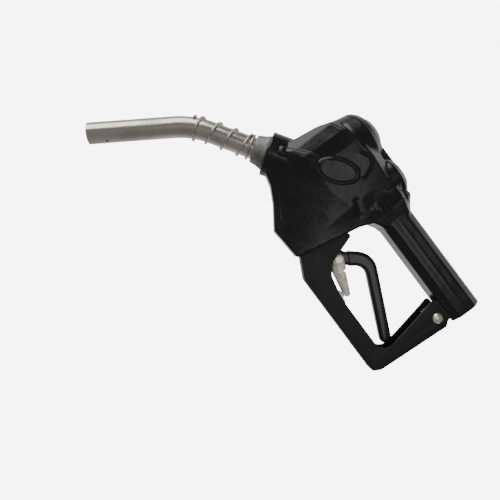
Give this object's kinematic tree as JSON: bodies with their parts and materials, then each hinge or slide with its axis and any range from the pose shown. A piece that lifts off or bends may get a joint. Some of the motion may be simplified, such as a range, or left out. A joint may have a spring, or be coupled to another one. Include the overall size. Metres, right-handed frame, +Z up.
{
  "type": "fuel nozzle",
  "caption": "Automatic fuel nozzle: covered aluminium body, bent metal spout with coil, squeeze lever with hold-open clip inside a channel guard, threaded hose inlet.",
  "frame": {"origin": "centre of the hose inlet face at the rear end of the handle", "axes": "+X along the handle and out of the hose inlet, +Z up, Y across; the spout leaves towards -X and -Z"},
  "size_m": [0.4112, 0.0668, 0.2597],
  "materials": {
    "cast_aluminium": "sand-cast, machined faces",
    "black_vinyl": "dipped vinyl, soft gloss",
    "spout_metal": "satin",
    "dull_cast": "rough cast",
    "bright_steel": "bright drawn",
    "brass_parts": "turned",
    "acetal": "moulded",
    "seal_rubber": "moulded",
    "black_coated": "coated",
    "black_grip": "smooth sleeve",
    "black_powder": "satin powder coat",
    "yellow_zinc": "yellow zinc plate"
  },
  "bodies": {
    "nozzle_body": {"body_casting": "cast_aluminium", "hand_cover": "black_vinyl", "spout_tube": "spout_metal", "sense_port_ferrule": "spout_metal", "vent_tube": "bright_steel", "spout_collar": "dull_cast", "collar_o_ring": "seal_rubber", "spout_bushing": "brass_parts", "check_valve_seat": "brass_parts", "check_valve_spring": "bright_steel", "spout_spring": "bright_steel", "vacuum_cap": "cast_aluminium", "vacuum_cap_screws": "bright_steel", "diaphragm": "seal_rubber", "diaphragm_spring": "bright_steel", "latch_ring": "bright_steel", "plunger_spring": "bright_steel", "main_cap": "cast_aluminium", "main_cap_o_ring": "seal_rubber", "main_valve_spring": "bright_steel", "stem_packing": "seal_rubber", "packing_nut": "brass_parts", "inlet_seal": "seal_rubber", "lever_guard": "black_powder", "latch_rack": "bright_steel", "rack_rivets": "bright_steel", "guard_rear_screw": "yellow_zinc", "guard_rear_nut": "yellow_zinc", "guard_front_screws": "bright_steel"},
    "plunger": {"latch_plunger": "bright_steel", "latch_balls": "bright_steel", "lever_pivot_pin": "bright_steel"},
    "lever": {"lever": "black_coated", "lever_sleeve": "black_grip", "clip_rivet": "yellow_zinc", "clip_spring": "bright_steel"},
    "clip": {"hold_open_clip": "yellow_zinc"},
    "main_valve": {"main_poppet": "brass_parts", "poppet_disc": "seal_rubber", "valve_stem": "bright_steel"},
    "shutoff_pin": {"diaphragm_pin": "bright_steel"},
    "check_valve": {"check_valve_poppet": "acetal"}
  },
  "joints": [
    {"name": "plunger_slide", "type": "slide", "parent": "nozzle_body", "child": "plunger", "axis": [0, 0, -1], "range_m": [0, 0.0055], "stiffness_N_per_m": 600, "springref_m": -0.012, "deforming": ["plunger_spring"]},
    {"name": "lever_hinge", "type": "hinge", "parent": "plunger", "child": "lever", "pos_m": [-0.2177, 0, -0.074], "axis": [0, -1, 0], "range_deg": [0, 12], "stiffness_Nm_per_rad": 1, "springref_deg": -17.19},
    {"name": "clip_hinge", "type": "hinge", "parent": "lever", "child": "clip", "pos_m": [-0.1262, 0, -0.0763], "axis": [0, 1, 0], "range_deg": [0, 24], "stiffness_Nm_per_rad": 0.03, "springref_deg": -22.92},
    {"name": "valve_lift", "type": "slide", "parent": "nozzle_body", "child": "main_valve", "axis": [0, 0, 1], "range_m": [0, 0.0117], "deforming": ["main_valve_spring"]},
    {"name": "shutoff_lift", "type": "slide", "parent": "nozzle_body", "child": "shutoff_pin", "axis": [0, 0, 1], "range_m": [0, 0.003], "stiffness_N_per_m": 300, "springref_m": -0.005, "deforming": ["diaphragm_spring"]},
    {"name": "check_slide", "type": "slide", "parent": "nozzle_body", "child": "check_valve", "axis": [-0.8415, 0, -0.5402], "range_m": [0, 0.006], "stiffness_N_per_m": 150, "springref_m": -0.006, "deforming": ["check_valve_spring"]}
  ],
  "couplings": [
    {"joint": "valve_lift", "follows": "lever_hinge", "m_per_rad": 0.0552}
  ]
}
